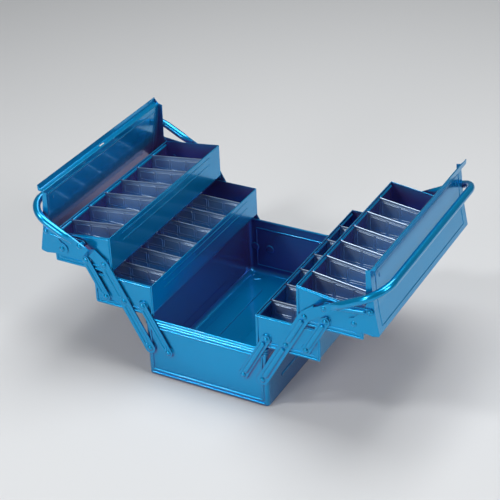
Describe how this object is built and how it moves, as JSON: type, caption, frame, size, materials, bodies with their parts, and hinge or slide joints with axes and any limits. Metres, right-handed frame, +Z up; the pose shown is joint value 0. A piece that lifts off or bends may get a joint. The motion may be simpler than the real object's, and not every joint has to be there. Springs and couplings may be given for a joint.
{
  "type": "cantilever tool box",
  "caption": "Steel cantilever tool box with divided trays on riveted folding arms, two hinged lids and two loop handles, shown open.",
  "frame": {"origin": "middle of the base's underside, which stands on the ground", "axes": "+X across the box to one set of trays, +Y along the box to its back end, +Z up"},
  "size_m": [0.6298, 0.39, 0.3103],
  "materials": {
    "enamel": "glossy blue enamel",
    "zinc": "bare zinc-plated steel sheet"
  },
  "bodies": {
    "base": {"base_body": "enamel", "base_ends": "enamel", "base_rivets": "enamel"},
    "arms_left": {"arm_front_left": "enamel", "arm_back_left": "enamel", "handle_left": "enamel", "arm_rivets_left": "enamel", "spacers_left": "enamel"},
    "base_links_left": {"base_link_front_left": "enamel", "base_link_back_left": "enamel"},
    "lower_storey_left": {"lower_tray_left": "enamel", "lower_tray_ends_left": "enamel", "lower_rails_left": "enamel", "lower_dividers_left": "zinc", "lower_rivets_left": "enamel"},
    "upper_links_left": {"upper_link_front_left": "enamel", "upper_link_back_left": "enamel"},
    "upper_storey_left": {"upper_tray_left": "enamel", "upper_tray_ends_left": "enamel", "upper_rails_left": "enamel", "upper_dividers_left": "zinc", "upper_rivets_left": "enamel"},
    "lid_half_left": {"lid_left": "enamel", "lid_gables_left": "enamel", "lid_rivets_left": "enamel"},
    "lid_links_left": {"lid_link_front_left": "enamel", "lid_link_back_left": "enamel"},
    "arms_right": {"arm_front_right": "enamel", "arm_back_right": "enamel", "handle_right": "enamel", "arm_rivets_right": "enamel", "spacers_right": "enamel"},
    "base_links_right": {"base_link_front_right": "enamel", "base_link_back_right": "enamel"},
    "lower_storey_right": {"lower_tray_right": "enamel", "lower_tray_ends_right": "enamel", "lower_rails_right": "enamel", "lower_dividers_right": "zinc", "lower_rivets_right": "enamel"},
    "upper_links_right": {"upper_link_front_right": "enamel", "upper_link_back_right": "enamel"},
    "upper_storey_right": {"upper_tray_right": "enamel", "upper_tray_ends_right": "enamel", "upper_rails_right": "enamel", "upper_dividers_right": "zinc", "upper_rivets_right": "enamel"},
    "lid_half_right": {"lid_right": "enamel", "lid_gables_right": "enamel", "lid_rivets_right": "enamel"},
    "lid_links_right": {"lid_link_front_right": "enamel", "lid_link_back_right": "enamel"}
  },
  "joints": [
    {"name": "fold_left", "type": "hinge", "parent": "base", "child": "arms_left", "pos_m": [-0.1025, 0, 0.054], "axis": [0, 1, 0], "range_deg": [0, 62.03]},
    {"name": "base_link_pivot_left", "type": "hinge", "parent": "base", "child": "base_links_left", "pos_m": [-0.0685, 0, 0.054], "axis": [0, 1, 0], "range_deg": [0, 62.03]},
    {"name": "lower_pivot_left", "type": "hinge", "parent": "arms_left", "child": "lower_storey_left", "pos_m": [-0.1448, 0, 0.13191], "axis": [0, 1, 0], "range_deg": [-62.03, 0]},
    {"name": "upper_pivot_left", "type": "hinge", "parent": "arms_left", "child": "upper_storey_left", "pos_m": [-0.17766, 0, 0.19242], "axis": [0, 1, 0], "range_deg": [-62.03, 0]},
    {"name": "upper_link_pivot_left", "type": "hinge", "parent": "lower_storey_left", "child": "upper_links_left", "pos_m": [-0.1788, 0, 0.13191], "axis": [0, 1, 0], "range_deg": [0, 62.03]},
    {"name": "lid_hinge_left", "type": "hinge", "parent": "upper_storey_left", "child": "lid_half_left", "pos_m": [-0.25716, 0, 0.20092], "axis": [0, 1, 0], "range_deg": [0, 72.5]},
    {"name": "lid_link_pivot_left", "type": "hinge", "parent": "arms_left", "child": "lid_links_left", "pos_m": [-0.21416, 0, 0.22187], "axis": [0, 1, 0], "range_deg": [-70.46, 0]},
    {"name": "fold_right", "type": "hinge", "parent": "base", "child": "arms_right", "pos_m": [0.1025, 0, 0.054], "axis": [0, -1, 0], "range_deg": [0, 62.03]},
    {"name": "base_link_pivot_right", "type": "hinge", "parent": "base", "child": "base_links_right", "pos_m": [0.0685, 0, 0.054], "axis": [0, -1, 0], "range_deg": [0, 62.03]},
    {"name": "lower_pivot_right", "type": "hinge", "parent": "arms_right", "child": "lower_storey_right", "pos_m": [0.1448, 0, 0.13191], "axis": [0, -1, 0], "range_deg": [-62.03, 0]},
    {"name": "upper_pivot_right", "type": "hinge", "parent": "arms_right", "child": "upper_storey_right", "pos_m": [0.17766, 0, 0.19242], "axis": [0, -1, 0], "range_deg": [-62.03, 0]},
    {"name": "upper_link_pivot_right", "type": "hinge", "parent": "lower_storey_right", "child": "upper_links_right", "pos_m": [0.1788, 0, 0.13191], "axis": [0, -1, 0], "range_deg": [0, 62.03]},
    {"name": "lid_hinge_right", "type": "hinge", "parent": "upper_storey_right", "child": "lid_half_right", "pos_m": [0.25716, 0, 0.20092], "axis": [0, -1, 0], "range_deg": [0, 72.5]},
    {"name": "lid_link_pivot_right", "type": "hinge", "parent": "arms_right", "child": "lid_links_right", "pos_m": [0.21416, 0, 0.22187], "axis": [0, -1, 0], "range_deg": [-70.46, 0]}
  ],
  "couplings": [
    {"joint": "base_link_pivot_left", "follows": "fold_left", "ratio": 1},
    {"joint": "lower_pivot_left", "follows": "fold_left", "ratio": -1},
    {"joint": "upper_pivot_left", "follows": "fold_left", "ratio": -1},
    {"joint": "upper_link_pivot_left", "follows": "fold_left", "ratio": 1},
    {"joint": "lid_hinge_left", "follows": "fold_left", "ratio": 1.1688},
    {"joint": "lid_link_pivot_left", "follows": "fold_left", "ratio": -1.1359},
    {"joint": "base_link_pivot_right", "follows": "fold_right", "ratio": 1},
    {"joint": "lower_pivot_right", "follows": "fold_right", "ratio": -1},
    {"joint": "upper_pivot_right", "follows": "fold_right", "ratio": -1},
    {"joint": "upper_link_pivot_right", "follows": "fold_right", "ratio": 1},
    {"joint": "lid_hinge_right", "follows": "fold_right", "ratio": 1.1688},
    {"joint": "lid_link_pivot_right", "follows": "fold_right", "ratio": -1.1359}
  ]
}
